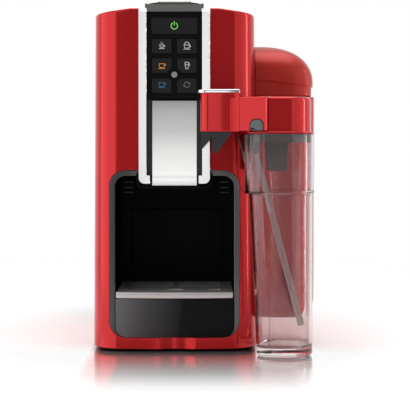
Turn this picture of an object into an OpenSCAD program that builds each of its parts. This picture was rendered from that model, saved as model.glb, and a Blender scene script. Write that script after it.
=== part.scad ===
/* [Body] */
// Width of the machine body at the table
body_w = 150; // [149:0.5:152]
// Width of the machine body at the top
body_top_w = 145.5; // [145:0.5:148]
// Height of the side cheeks above the table
body_h = 311; // [310:0.5:312]
// Depth from the control panel to the back of the water tank
body_d = 335; // [333:1:345]
// Depth of the casing in front of the water tank
shell_d = 228; // [228:0.5:229]
// Radius of the front corners, seen from above
corner_r = 34; // [32:1:36]
// Radius of the gentle bow of the whole front
bow_r = 420; // [400:10:460]
// Height of the rubber feet
foot_h = 3; // [3:0.5:3]

/* [Cup bay] */
// Outer width of the dark bezel round the bay
bay_w = 118; // [117:0.5:119]
// Height of the top of the bay above the table
bay_top = 165; // [164:0.5:166]
// Width of the bezel's border
bezel_t = 5; // [4.5:0.5:5]
// Depth of the bay behind the front
bay_d = 98; // [97.5:0.5:98]
// Height of the sill under the drip tray
sill_z = 13.4; // [13:0.1:13.4]
// Height of the cup grille
grille_z = 54.5; // [54:0.5:55]

/* [Front strip] */
// Width of the bright frame that runs down the front
frame_w = 64; // [63:0.5:64]
// Width of the black control panel
panel_w = 50; // [49.5:0.5:50]
// Height of the lower edge of the control panel
panel_z = 229; // [228.5:0.5:229]
// Height of the lower edge of the bright frame
frame_z = 153; // [152.5:0.5:153]
// Width of the sliding outlet plate
plate_w = 40.4; // [40:0.2:40.4]
// Travel of a key
key_travel = 0.8; // [0.5:0.1:0.8]

/* [Lever] */
// Width of the lever
lever_w = 49.2; // [48:0.2:50]
// Height of the underside of the lever
lever_z = 307.6; // [307.6:0.1:308]
// Distance of the lever's hinge from the front
lever_hinge_y = 190; // [188:1:190]

/* [Steam dock] */
// Distance of the dock's right side from the machine's middle
dock_x = 129.5; // [128:0.5:130]
// Distance of the dock's front face behind the control panel
dock_y = 31; // [31:0.5:32]
// Height of the joint between the dock and its cover
dock_joint_z = 232; // [231.5:0.5:232]

/* [Milk carafe] */
// Height of the clear jar
jar_h = 197.4; // [197:0.2:197.4]
// Wall of the clear jar
jar_wall = 2.2; // [2:0.1:2.2]
// Height of the top of the lid
lid_top = 230.5; // [230:0.5:231]
// Distance of the arm's tip from the machine's middle
arm_tip_x = 23.4; // [23:0.2:26]
// Rounding of the arm's tip, seen from above
arm_tip_r = 7.5; // [6:0.5:8]

/* [Hidden] */
$fn = 48;
fit = 0.3;            // gap between pieces of different bodies
pin_gap = 0.05;       // radial running clearance of pins
wall = 3;             // casing wall
edge_r = 2.5;         // rounding of the cheeks' top edge
roof_x = 40;          // half width of the level part of the roof
roof_fall = 4;        // fall of the roof from there to its edge
rear_r = 20;          // rear corners of the tank
inner_x = 69;         // half width inside the side covers
top_z = 305;          // underside of the top deck
front_d = 60;         // depth of the front housing
front_wall = 7;       // front wall of the front housing
origin_x = (dock_x - body_w / 2) / 2;
carafe_y = -37.4;     // front of the milk carafe
origin_y = (body_d + carafe_y) / 2;

base_z = 12;          // top of the base plate
bay_in = bay_w / 2 - bezel_t;
tray_x = bay_in - 0.5;
tray_z = sill_z + 0.4;
tray_rim = grille_z - 2.2;
bin_x = 44;
bin_y = [98.6, 188];
bin_z = 124;

fascia_t = 2;
board_y = 4.1;
plate_y = 5.5;
key_w = 17.5;
key_h = 13;
key_x = 11.25;
key_rows = [276.5, 259.1, 241];
power_size = [41.4, 14.8];
power_z = 294.8;
lamp_z = 251;
lamp_r = 2.65;
lamp_clear = 6.3;

brew_z = 238;         // axis of the brew chamber
cage_r = 20;
capsule_slot = [[-17, 100], [17, 130]];

lever_hinge_z = 308;
lever_t = 6.6;        // thickness of the lever's arm
grip_top = lever_z + 9.4;
inlay_lo = [-15.2, 9, grip_top - 1.2];
inlay_hi = [15.2, 38, grip_top + 0.4];
lever_pin_r = 2;

tank_y = shell_d + 1.5;
tank_z = 288;
tank_wall = 2.2;
lid_hinge = [328, 291];

nozzle_x = 104;
nozzle_z = 214;
cover_hinge = [109, 247.5];
dock_z = 28;
post_z = 220;         // foot of the posts that hold the cover's pin
dome_x = 74;          // left side of the dome, beside the body
relief_z = 225;

jar_front = [[80, -20, 17.2], [99, -11, 26]];
jar_back = [[99, 11, 18], [107, 11, 18]];
jar_step = 146;
jar_in = 1.4;         // how far the lower part of the jar steps in
jar_left_in = 2.2;    // how much more it steps in at its left end
jar_floor = 8.6;      // height of the thick floor's top
lid_in = 2.8;         // how far the lid stands in from the jar's rim
lid_z = 198;
hub = [67.3, -23.5];
hub_r = 18.7;
arm_y = [-26, -7];    // front and back of the arm's thin end
arm_bend_x = 49;      // where the arm's front starts to lean forward to the lid
arm_corner = [80, -37];
arm_step_x = 57.7;    // where the arm steps down to the lid's height
hub_pin_r = 3;
arm_z = [200.2, 234];
spout_y = [-24, -12];
funnel_z = 181;
tube_top = [72.8, -18, 180.2];

// ---- shared shapes ----

// Moves a piece from the machine's own planes to the part's origin
module in_frame() translate([-origin_x, -origin_y, 0]) children();

module block(lo, hi) translate(lo) cube([hi[0] - lo[0], hi[1] - lo[1], hi[2] - lo[2]]);

// Round bar between two points
module rod(a, b, r) {
    d = b - a;
    translate(a)
        rotate([0, acos(d[2] / norm(d)), atan2(d[1], d[0])])
            cylinder(h = norm(d), r = r);
}

// A front-view outline pushed from y0 back to y1
module from_front(y0, y1) translate([0, y1, 0]) rotate([90, 0, 0]) linear_extrude(y1 - y0) children();

// A side-view outline (y, z) pushed from x0 to x1
module from_side(x0, x1) translate([x0, 0, 0])
    rotate([90, 0, 90]) linear_extrude(x1 - x0) children();

// A plan outline raised from z0 to z1
module from_above(z0, z1) translate([0, 0, z0]) linear_extrude(z1 - z0) children();

module round_rect(lo, hi, r) {
    translate([lo[0] + r, lo[1]]) square([hi[0] - lo[0] - 2 * r, hi[1] - lo[1]]);
    translate([lo[0], lo[1] + r]) square([hi[0] - lo[0], hi[1] - lo[1] - 2 * r]);
    for (x = [lo[0] + r, hi[0] - r], y = [lo[1] + r, hi[1] - r])
        translate([x, y]) circle(r);
}

// Plan of the whole body: round corners and a gently bowed front
module body_plan() {
    intersection() {
        union() {
            translate([-body_w / 2, corner_r]) square([body_w, body_d - corner_r - rear_r]);
            translate([corner_r - body_w / 2, 0]) square([body_w - 2 * corner_r, corner_r]);
            translate([rear_r - body_w / 2, corner_r])
                square([body_w - 2 * rear_r, body_d - corner_r]);
            for (s = [-1, 1]) {
                translate([s * (body_w / 2 - corner_r), corner_r]) circle(corner_r);
                translate([s * (body_w / 2 - rear_r), body_d - rear_r]) circle(rear_r);
            }
        }
        translate([0, bow_r]) circle(bow_r, $fn = 360);
    }
}

// Front view of the body: slightly narrower at the top, with a roof that falls to round edges
module body_profile() {
    hull() {
        translate([-body_w / 2, foot_h]) square([body_w, 1]);
        translate([-roof_x, body_h - 1]) square([2 * roof_x, 1]);
        for (s = [-1, 1])
            translate([s * (body_top_w / 2 - edge_r), body_h - roof_fall - edge_r]) circle(edge_r);
    }
}

module body_solid() {
    intersection() {
        from_above(foot_h, body_h) body_plan();
        from_front(-1, body_d + 1) body_profile();
    }
}

// ---- casing ----

module base_plate() color("dimgray") in_frame() {
    rail_x = [44.5, 49];
    difference() {
        union() {
            block([fit - inner_x, 40.3, foot_h], [inner_x - fit, shell_d + fit, base_z]);
            intersection() {
                body_solid();
                block([-body_w, shell_d + fit, foot_h], [body_w, body_d, base_z]);
            }
            for (s = [-1, 1])
                translate([s * (rail_x[0] + rail_x[1]) / 2, 0, 0])
                    block([-2, 42, base_z], [2, 186, sill_z]);
        }
        translate([0, 280, 6]) cylinder(h = 10, r = 8.3);
    }
}

module feet() color("#202020") in_frame() {
    for (x = [-54, 54], y = [26, 306]) translate([x, y, 0]) cylinder(h = foot_h, r = 9);
}

module front_housing() color("#c8252a") in_frame() {
    slot_x = frame_w / 2 + fit;
    difference() {
        intersection() {
            body_solid();
            block([-body_w, -1, foot_h], [body_w, front_d, body_h]);
        }
        // hollow that follows the round corners
        from_above(sill_z, top_z) round_rect([-inner_x, front_wall], [inner_x, front_d + 61], 30);
        block([-inner_x, 40, foot_h - 1], [inner_x, front_d + 1, sill_z + 1]);
        bay_opening(bay_w / 2 + fit, 15);
        block([-slot_x, -1, frame_z - fit], [slot_x, front_wall + 1, body_h + 1]);
        block([-slot_x, -1, top_z - 1], [slot_x, front_d + 1, body_h + 1]);
        // thumb recess under the drip tray
        from_above(foot_h - 1, sill_z + 1) thumb_scoop();
    }
}

module thumb_scoop() {
    scoop_r = 46;
    translate([0, 4.3 - scoop_r]) circle(scoop_r, $fn = 120);
}

module bay_opening(half_w, r) {
    from_front(-1, 14)
        round_rect([-half_w, sill_z], [half_w, bay_top + fit], r);
}

module side_cover() {
    intersection() {
        body_solid();
        block([inner_x, front_d + fit, foot_h], [body_w, shell_d, body_h]);
    }
}

module left_cover() color("#c8252a") in_frame() {
    difference() {
        mirror([1, 0, 0]) side_cover();
        // opening for the power inlet
        block([-body_w, 182, 24], [-inner_x + 1, 210, 44]);
    }
}

module right_cover() color("#c8252a") in_frame() {
    difference() {
        side_cover();
        // way through for the steam pipe
        block([inner_x - 1, 74, nozzle_z - 6], [body_w, 86, nozzle_z + 6]);
    }
}

module top_cover() color("#b82026") in_frame() {
    channel_x = 26.5;
    floor_z = [300, 303];
    difference() {
        union() {
            intersection() {
                body_solid();
                block([-inner_x + fit, front_d + fit, top_z + 1], [inner_x - fit, shell_d, body_h - 0.5]);
            }
            block([-29.5, 60.3, floor_z[0]], [29.5, 206, top_z + 1]);
            block([-31.8, 9, floor_z[0]], [31.8, 61, floor_z[1]]);
        }
        block([-channel_x, 60, floor_z[1]], [channel_x, 203, body_h]);
        block([capsule_slot[0][0], capsule_slot[0][1], floor_z[0] - 1],
            [capsule_slot[1][0], capsule_slot[1][1], floor_z[1] + 1]);
        // slot for the lever's tail
        block([-5, 150, floor_z[0] - 1], [5, 196, floor_z[1] + 1]);
        rod([-29.5, lever_hinge_y, lever_hinge_z], [29.5, lever_hinge_y, lever_hinge_z], lever_pin_r);
    }
}

module rear_cover() color("#303030") in_frame() {
    difference() {
        block([fit - inner_x, shell_d - wall, base_z + 0.2], [inner_x - fit, shell_d, top_z + 0.8]);
        for (z = [250:8:282]) block([-40, shell_d - wall - 1, z], [40, shell_d + 1, z + 3]);
    }
}

// ---- cup bay ----

module cavity_bezel() color("#55524f") in_frame() {
    nose_x = frame_w / 2 + 0.5;
    intersection() {
        translate([0, 0.5, 0]) body_solid();
        union() {
            difference() {
                from_front(0, 12) round_rect([-bay_w / 2, sill_z], [bay_w / 2, bay_top], 15);
                from_front(-1, 13)
                    round_rect([-bay_in, sill_z], [bay_in, bay_top - bezel_t], 10);
                block([-nose_x, -1, 150], [nose_x, 13, bay_top + 1]);
            }
            // dark fairing that carries the bezel under the front strip
            difference() {
                block([-nose_x - 2, 2, 148.2], [nose_x + 2, 8, bay_top - 2]);
                block([-nose_x, 1, 150.6], [nose_x, 9, bay_top]);
            }
        }
    }
}

module cavity_liner() color("#161616") in_frame() {
    out_x = bay_in + wall;
    back_y = bay_d + 3;
    difference() {
        block([-out_x, 12.3, sill_z + 0.2], [out_x, back_y, bay_top - 0.2]);
        block([-bay_in - fit, 12, sill_z - 1], [bay_in + fit, bay_d + 0.3, bay_top - wall]);
        // the outlet rises through the roof of the bay
        block([-35, 12, bay_top - 4], [35, 47, bay_top]);
        // the capsule bin passes through the back
        block([-bin_x - 0.6, bay_d - 1, sill_z - 1], [bin_x + 0.6, back_y + 1, bin_z + 1]);
        for (s = [-1, 1], z = [140.4, 145.2, 150.6])
            translate([s * 46.7, 0, 0]) block([-4.8, bay_d - 0.6, z], [4.8, bay_d + 1.2, z + 1.4]);
    }
}

// ---- front strip ----

module center_frame() color("#e4e4e2") in_frame() {
    half = frame_w / 2;
    in_x = panel_w / 2 + 0.1;
    foot_in = 22;
    for (s = [0, 1]) mirror([s, 0, 0]) {
        difference() {
            union() {
                block([in_x, -1.4, frame_z + 5], [half, 8, lever_z - 0.2]);
                block([foot_in, -1.4, frame_z], [half - 5, 4, frame_z + 7.3]);
                block([half - 6, -1.4, frame_z + 5], [half, 8, frame_z + 7]);
                intersection() {
                from_front(-1.4, 4) translate([half - 5, frame_z + 5]) circle(5);
                block([half - 6, -2, frame_z], [half, 5, frame_z + 5]);
            }
            }
            block([foot_in - 1, 4, frame_z - 1], [half - 5, 9, frame_z + 7.3]);
        }
    }
    block([-in_x - 1, 6, lever_z - 4.2], [in_x + 1, 8, lever_z - 0.4]);
}

module guide_strips() color("#101010") in_frame() {
    out_x = panel_w / 2;
    for (s = [0, 1]) mirror([s, 0, 0]) {
        // lip seen beside the plate, then the rail that guides the carriage
        block([plate_w / 2 + 0.4, 2, frame_z + 7.6], [out_x, 5, panel_z - 0.2]);
        block([23.4, 5, frame_z + 7.6], [out_x, 14, 299]);
        block([20.6, 12, frame_z + 7.6], [24, 14, 299]);
    }
}

// Outline of one small key, with the lamp's ring cut from its corner
module key_outline(x, z, grow) {
    difference() {
        round_rect([x - key_w / 2 - grow, z - key_h / 2 - grow],
            [x + key_w / 2 + grow, z + key_h / 2 + grow], 0.8 + grow);
        translate([0, lamp_z]) circle(lamp_clear - grow);
    }
}

module power_outline(grow) {
    round_rect([-power_size[0] / 2 - grow, power_z - power_size[1] / 2 - grow],
        [power_size[0] / 2 + grow, power_z + power_size[1] / 2 + grow], 0.8 + grow);
}

module control_fascia() color("#0c0c0c") in_frame() {
    difference() {
        block([-panel_w / 2, 0, panel_z], [panel_w / 2, fascia_t, lever_z - 0.3]);
        from_front(-1, fascia_t + 1) power_outline(0.35);
        for (s = [-1, 1], z = key_rows)
            from_front(-1, fascia_t + 1) key_outline(s * key_x, z, 0.35);
        rod([0, -1, lamp_z], [0, fascia_t + 1, lamp_z], lamp_r + pin_gap);
    }
}

module status_lens() color("#d8d8d0") in_frame() {
    rod([0, -0.1, lamp_z], [0, board_y, lamp_z], lamp_r);
}

module key_board() color("darkgreen") in_frame() {
    block([-20, board_y, panel_z + 2], [20, board_y + 1, 303]);
}

// A push key: its cap stands in the panel and a flange behind keeps it there
module key_body(x, z) {
    from_front(-0.2, fascia_t + 0.2) key_outline(x, z, 0);
    from_front(fascia_t + 0.2, fascia_t + 1.1) key_outline(x, z, 0.9);
}

module power_key() color("#181818") in_frame() {
    from_front(-0.2, fascia_t + 0.2) power_outline(0);
    from_front(fascia_t + 0.2, fascia_t + 1.1) power_outline(0.9);
}

module espresso_key() color("#181818") in_frame() key_body(-key_x, key_rows[0]);
module cappuccino_key() color("#181818") in_frame() key_body(key_x, key_rows[0]);
module coffee_key() color("#181818") in_frame() key_body(-key_x, key_rows[1]);
module latte_key() color("#181818") in_frame() key_body(key_x, key_rows[1]);
module water_key() color("#181818") in_frame() key_body(-key_x, key_rows[2]);
module rinse_key() color("#181818") in_frame() key_body(key_x, key_rows[2]);

// ---- sliding coffee outlet ----

module outlet_plate() color("silver") in_frame() {
    block([-plate_w / 2, plate_y, frame_z - 2], [plate_w / 2, plate_y + 1.5, panel_z - 1.2]);
}

module outlet_carriage() color("#202020") in_frame() {
    y0 = plate_y + 1.5;
    difference() {
        union() {
            block([-18, y0, frame_z + 1], [18, 18, panel_z - 8]);
            // tongues that run in the rails
            block([-23, y0, frame_z + 9], [23, 11.6, panel_z - 8]);
            block([-12, 18, frame_z + 9], [12, 44, frame_z + 26]);
        }
        // coffee trough
        block([-8, 22, frame_z + 13], [8, 41, frame_z + 27]);
        for (s = [-1, 1]) translate([s * 5, 33, frame_z]) cylinder(h = 20, r = 1.6);
    }
}

module outlet_nozzle() color("#2a2a2a") in_frame() {
    difference() {
        union() {
            block([-11, 24, frame_z + 5], [11, 42, frame_z + 9]);
            for (s = [-1, 1]) translate([s * 5, 33, frame_z + 0.6]) cylinder(h = 4.4, r = 4.2);
        }
        for (s = [-1, 1]) translate([s * 5, 33, frame_z]) cylinder(h = 12, r = 1.6);
    }
}

// ---- drip tray ----

// Front view of the tray: square at the top, round at the bottom corners
module tray_profile(half_w, lo, hi, r) {
    translate([-half_w, lo + r]) square([2 * half_w, hi - lo - r]);
    translate([r - half_w, lo]) square([2 * half_w - 2 * r, r + 1]);
    for (s = [-1, 1]) translate([s * (half_w - r), lo + r]) circle(r);
}

module drip_tray() color("#141414") in_frame() {
    difference() {
        from_front(6, 96) tray_profile(tray_x - 0.4, tray_z, tray_rim, 9.6);
        from_front(8, 94) tray_profile(tray_x - 2.4, tray_z + 2, tray_rim + 1, 8);
    }
}

module tray_front() color("#0a0a0a") in_frame() {
    intersection() {
        translate([0, -0.4, 0]) body_solid_low();
        from_front(-2, 6) tray_profile(tray_x, tray_z, grille_z - 6, 9.4);
    }
}

// The body's bowed front near the table, without its taper
module body_solid_low() from_above(foot_h, 80) body_plan();

module capsule_bin() color("#181818") in_frame() {
    difference() {
        block([-bin_x, bin_y[0], tray_z], [bin_x, bin_y[1], bin_z]);
        block([-bin_x + 1.8, bin_y[0] + 1.8, tray_z + 2], [bin_x - 1.8, bin_y[1] - 1.8, bin_z + 1]);
    }
    // hooks that hold the bin to the tray
    for (s = [-1, 1]) translate([s * 30, 0, 0]) block([-6, 96, 40], [6, bin_y[0], 50]);
}

module drip_grille() color("#a9a7a3") in_frame() {
    half = tray_x - 0.6;
    lip_z = grille_z - 5.6;
    difference() {
        intersection() {
            translate([0, -0.9, 0]) body_solid_low();
            union() {
                block([-half, -3, grille_z - 2], [half, 95.5, grille_z]);
                block([-half, -3, lip_z], [half, 3.2, grille_z]);
            }
        }
        // oval drain hole, float window and rows of slots
        translate([-0.4, 24, 0]) oval_hole(17, 9.4);
        translate([35.5, 24, 0]) oval_hole(13.6, 7.4);
        for (s = [-1, 1], y = [48:7:90])
            translate([s * 22, y, 0]) oval_hole(40, 1.6);
    }
}

module oval_hole(l, w) {
    from_above(grille_z - 8, grille_z + 1)
        round_rect([-l / 2, -w / 2], [l / 2, w / 2], w / 2 - 0.01);
}

module tray_float() color("#c01820") in_frame() {
    block([30, 21.5, 20], [40, 26.5, tray_rim + 1]);
    block([25, 16, tray_z + 2.1], [42.6, 32, 24]);
}

// ---- lever and brew group ----

module lever_arm() color("#77756f") in_frame() {
    half = lever_w / 2;
    difference() {
        union() {
            block([-half, -1.6, lever_z], [half, lever_hinge_y, lever_z + lever_t]);
            rod([-half, lever_hinge_y, lever_hinge_z], [half, lever_hinge_y, lever_hinge_z], 4.4);
            // tail that works the brew chamber
            block([-4, 176, 290], [4, 186, lever_z + 1]);
            // side lugs
            for (s = [-1, 1]) translate([s * (half + 0.6), 0, 0])
                block([-1.2, 2, lever_z + 4.2], [1.2, 14, lever_z + lever_t + 0.8]);
        }
        rod([-half - 1, lever_hinge_y, lever_hinge_z], [half + 1, lever_hinge_y, lever_hinge_z],
            lever_pin_r + pin_gap);
    }
}

module lever_grip() color("#3a3a3c") in_frame() {
    // shallow arch on the lever's front end
    arch_r = 120;
    difference() {
        intersection() {
            from_front(1, 76) intersection() {
                translate([0, grip_top - arch_r]) circle(arch_r, $fn = 180);
                translate([-22.6, lever_z + lever_t]) square([45.2, 6]);
            }
            from_side(-30, 30)
                polygon([[0, lever_z], [0, grip_top - 2], [5, grip_top + 0.4], [40, grip_top + 0.4],
                    [77, lever_z + lever_t + 0.3], [77, lever_z]]);
        }
        block(inlay_lo, [inlay_hi[0], inlay_hi[1], grip_top + 1]);
    }
}

module lever_inlay() color("#6a1418") in_frame() block(inlay_lo, inlay_hi);

module lever_pin() color("silver") in_frame() {
    rod([-29.4, lever_hinge_y, lever_hinge_z], [29.4, lever_hinge_y, lever_hinge_z], lever_pin_r);
}

module brew_frame() color("#8f9296") in_frame() {
    difference() {
        union() {
            for (s = [0, 1]) mirror([s, 0, 0]) block([29, 58, 190], [32, 196, 296]);
            block([-30, 58, 190], [30, 62, 292]);
            block([-30, 190, 200], [30, 196, 280]);
        }
        block([-10, 57, 189], [10, 63, 200]);
        rod([0, 189, brew_z], [0, 197, brew_z], 7.1);
        // way through for the steam pipe
        rod([-33, 182, 286], [33, 182, 286], 3.5);
    }
}

module injector_block() color("#3c3c3c") in_frame() {
    difference() {
        union() {
            block([-24, 62, 212], [24, 86, 264]);
            rod([0, 86, brew_z], [0, 96, brew_z], 19);
        }
        rod([0, 66, brew_z], [0, 97, brew_z], 2);
        translate([0, 76, 211]) cylinder(h = 28, r = 2);
    }
}

module capsule_cage() color("#6d6f72") in_frame() {
    difference() {
        union() {
            rod([0, 98, brew_z], [0, 134, brew_z], cage_r);
            rod([0, 134, brew_z], [0, 196, brew_z], 7.1 - pin_gap);
        }
        // pocket that takes the capsule
        rod([0, 97, brew_z], [0, 128, brew_z], 15.5);
    }
}

module thermoblock() color("#b9bcc0") in_frame() {
    difference() {
        union() {
            block([-64, 112, 160], [-38, 196, 250]);
            for (z = [172:12:238]) block([-67, 116, z], [-64, 192, z + 4]);
        }
        for (y = [126, 182]) rod([-51, y, 250.5], [-51, y, 230], 3);
    }
}

module pump() color("#4d6a8a") in_frame() {
    rod([-38, 207, 60], [30, 207, 60], 15);
    rod([30, 207, 60], [52, 207, 60], 5);
    rod([-52, 207, 60], [-38, 207, 60], 5);
    for (x = [-34, 20]) block([x, 193, base_z], [x + 8, 221, 50]);
}

module flow_meter() color("#e6e2d6") in_frame() {
    block([-66, 198, 100], [-44, 220, 122]);
    rod([-55, 209, 122], [-55, 209, 130], 4);
}

// Hose along axis-parallel legs, with ball corners
module hose(points, r) {
    for (i = [1:len(points) - 1]) rod(points[i - 1], points[i], r);
    if (len(points) > 2) for (i = [1:len(points) - 2]) translate(points[i]) sphere(r);
}

module suction_hose() color("#d9d9d9") in_frame() {
    hose([[-55, 209, 99.8], [-55, 209, 60], [-52.1, 209, 60]], 2.5);
}

module steam_pipe() color("silver") in_frame() {
    hose([[-51, 182, 230.2], [-51, 182, 286], [50, 182, 286], [50, 80, 286], [50, 80, nozzle_z],
        [nozzle_x, 80, nozzle_z], [nozzle_x, 46.2, nozzle_z]], 2.5);
}

module power_board() color("darkgreen") in_frame() {
    block([62, 104, 50], [63.6, 214, 150]);
    for (y = [116:24:188]) block([50, y, 60], [62, y + 14, 84]);
}

module power_inlet() color("#151515") in_frame() {
    difference() {
        block([-73.8, 182.3, 24.3], [-58, 209.7, 43.7]);
        block([-76, 186, 28], [-61, 206, 40]);
    }
    for (y = [191, 199]) block([-69, y, 33], [-60, y + 2, 35]);
}

module screws() color("#9a9a9a") in_frame() {
    for (x = [-62, 62], y = [48, 218]) translate([x, y, base_z]) cylinder(h = 2.4, r = 3.4);
    for (x = [-20, 20], z = [224, 252]) rod([x, 55.6, z], [x, 58, z], 3.2);
}

// ---- water tank ----

module tank_block(inset, z0, z1) {
    intersection() {
        from_above(z0, z1) offset(delta = -inset) body_plan();
        from_front(0, body_d + 1) offset(delta = -inset) body_profile();
        block([-body_w, tank_y + inset, z0], [body_w, body_d, z1]);
    }
}

module water_tank() color([0.45, 0.5, 0.55, 0.6]) in_frame() {
    difference() {
        union() {
            difference() {
                tank_block(1, base_z + 0.4, tank_z);
                tank_block(1 + tank_wall, base_z + 0.4 + tank_wall, tank_z + 1);
            }
            // ears with the lid's two hinge stubs
            for (s = [0, 1]) mirror([s, 0, 0]) {
                block([31, 324.5, tank_z - 8], [36, 332, lid_hinge[1] + 3]);
                rod([26, lid_hinge[0], lid_hinge[1]], [32, lid_hinge[0], lid_hinge[1]], 1.6);
            }
        }
        translate([0, 280, base_z]) cylinder(h = 4, r = 6);
    }
}

module tank_valve() color("#d0d0d0") in_frame() {
    translate([0, 280, 6.5]) cylinder(h = base_z + 0.4 - 6.5, r = 8);
    translate([0, 280, base_z + 0.4]) cylinder(h = 9, r = 5.8);
}

module tank_lid() color("#26262a") in_frame() {
    y0 = tank_y + 1.2;
    barrel_x = 30.6;
    difference() {
        union() {
            intersection() {
                tank_block(1.2, tank_z + 0.4, tank_z + 4.4);
                union() {
                    block([-body_w, y0, tank_z], [body_w, 321, tank_z + 5]);
                    block([-29, 320, tank_z], [29, 330, tank_z + 5]);
                }
            }
            rod([-barrel_x, lid_hinge[0], lid_hinge[1]], [barrel_x, lid_hinge[0], lid_hinge[1]], 2.9);
            // handle ridge
            block([-20, y0 + 6, tank_z + 4], [20, y0 + 16, tank_z + 10]);
        }
        rod([-barrel_x - 1, lid_hinge[0], lid_hinge[1]], [barrel_x + 1, lid_hinge[0], lid_hinge[1]],
            1.6 + pin_gap);
    }
}

// ---- steam dock ----

// Plan of the dock: it grows out of the machine's right side
module dock_plan(inset) {
    round_rect([60 + inset, dock_y + inset], [dock_x - inset, 118 - inset], 16 - inset);
}

module dock_housing() color("#b81c20") in_frame() {
    difference() {
        union() {
            difference() {
                intersection() {
                    from_above(dock_z, dock_joint_z) dock_plan(0);
                    from_front(0, 130) round_rect([40, dock_z], [dock_x, 300], 20);
                }
                intersection() {
                    from_above(dock_z + wall, dock_joint_z + 1) dock_plan(wall);
                    from_front(0, 130) round_rect([81, dock_z + wall], [dock_x - wall, 300], 17);
                }
            }
            // posts that hold the cover's hinge pin
            dock_post(80.6, 85.5);
            dock_post(119, 122.4);
            block([119, 105.6, post_z], [125.2, 112.4, dock_joint_z]);
        }
        translate([0, 0, -1]) body_solid();
        body_solid();
        block([60, 70, nozzle_z - 6], [82, 90, nozzle_z + 6]);
        rod([nozzle_x, dock_y - 1, nozzle_z], [nozzle_x, dock_y + 4, nozzle_z], 6);
        rod([80, cover_hinge[0], cover_hinge[1]], [123, cover_hinge[0], cover_hinge[1]], 1.5);
    }
}

module dock_post(x0, x1) {
    from_side(x0, x1) {
        translate([cover_hinge[0] - 3.4, post_z]) square([6.8, cover_hinge[1] - post_z]);
        translate(cover_hinge) circle(3.4);
    }
}

module dock_hinge_pin() color("silver") in_frame() {
    rod([81, cover_hinge[0], cover_hinge[1]], [122.2, cover_hinge[0], cover_hinge[1]], 1.5);
}

// Front view of the dome over the dock
module dome_profile(inset) {
    x0 = dome_x + inset;
    x1 = dock_x - 0.4 - inset;
    polygon([[x0, dock_joint_z + 0.4 - inset], [x1, dock_joint_z + 0.4 - inset],
        [x1 - 0.4, 254], [x1 - 3.4, 261 - inset / 2], [123 - inset, 266.5 - inset],
        [110 - inset / 2, 274 - inset], [94, 278.6 - inset], [x0, 280.6 - inset]]);
}

// Side view of the dome: a round brow at the front, a flat fall at the back
module dome_side(inset) {
    z0 = dock_joint_z + 0.4 - inset;
    polygon([[31 + inset, z0], [112 - inset, z0], [112 - inset, 264 - inset], [104 - inset, 276 - inset],
        [90, 281 - inset], [52, 281 - inset], [38 + inset, 275 - inset], [31 + inset, 264 - inset]]);
}

module dock_cover() color("#a4332c") in_frame() {
    difference() {
        intersection() {
            from_front(30, 113) dome_profile(0);
            from_side(70, 130) dome_side(0);
        }
        difference() {
            intersection() {
                from_front(30, 113) dome_profile(wall);
                from_side(70, 130) dome_side(wall);
            }
            // knuckles of the hinge
            for (x = [88, 108]) block([x, 104, 243], [x + 7, 112, 262]);
        }
        // room behind the hinge for the swing
        block([70, 103.6, relief_z], [87.9, 113, 252]);
        block([95.1, 103.6, relief_z], [107.9, 113, 252]);
        block([115.1, 103.6, relief_z], [130, 113, 252]);
        for (x = [87, 107]) knuckle_relief(x, x + 9);
        rod([86, cover_hinge[0], cover_hinge[1]], [116, cover_hinge[0], cover_hinge[1]],
            1.5 + pin_gap);
    }
}

// Everything round a knuckle outside its own barrel is cut away
module knuckle_relief(x0, x1) {
    from_side(x0, x1) difference() {
        translate([cover_hinge[0] - 0.01, relief_z]) square([6, cover_hinge[1] + 4 - relief_z]);
        translate(cover_hinge) circle(3.2);
    }
    from_side(x0, x1) difference() {
        translate([98, relief_z]) square([11.02, cover_hinge[1] - relief_z]);
        translate(cover_hinge) circle(3.2);
    }
}

module steam_nozzle() color("silver") in_frame() {
    difference() {
        union() {
            rod([nozzle_x, 29.7, nozzle_z], [nozzle_x, 46, nozzle_z], 4);
            rod([nozzle_x, dock_y + wall, nozzle_z], [nozzle_x, dock_y + wall + 4, nozzle_z], 9);
        }
        rod([nozzle_x, 29, nozzle_z], [nozzle_x, 40, nozzle_z], 1.5);
    }
}

// ---- milk carafe ----

module jar_plan(inset, left_in = 0) {
    left_end = [jar_front[0] + [left_in, 0, 0], jar_front[1]];
    hull() for (c = concat(left_end, jar_back)) translate([c[0], c[1]]) circle(c[2] - inset);
}

// Pouring beak on the left of the jar's rim
module jar_beak(inset) {
    hull() {
        from_above(jar_h - 2 + 2 * sign(inset), jar_h + sign(inset))
            polygon([[57 + 2 * inset, -15], [72, -29 + inset], [76, -5 - inset]]);
        from_above(160 + 2 * inset, 161 + 2 * inset)
            polygon([[67.4 + inset, -16], [70, -20], [71, -12]]);
    }
}

module carafe_jar() color([0.92, 0.88, 0.88, 0.4]) in_frame() {
    difference() {
        union() {
            from_above(0.6, jar_step) jar_plan(jar_in, jar_left_in);
            from_above(jar_step, jar_h) jar_plan(0);
            jar_beak(0);
        }
        from_above(jar_floor, jar_step + 1) jar_plan(jar_in + jar_wall, jar_left_in);
        from_above(jar_step + 1, jar_h + 1) jar_plan(jar_wall);
        jar_beak(1.6);
    }
}

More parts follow.
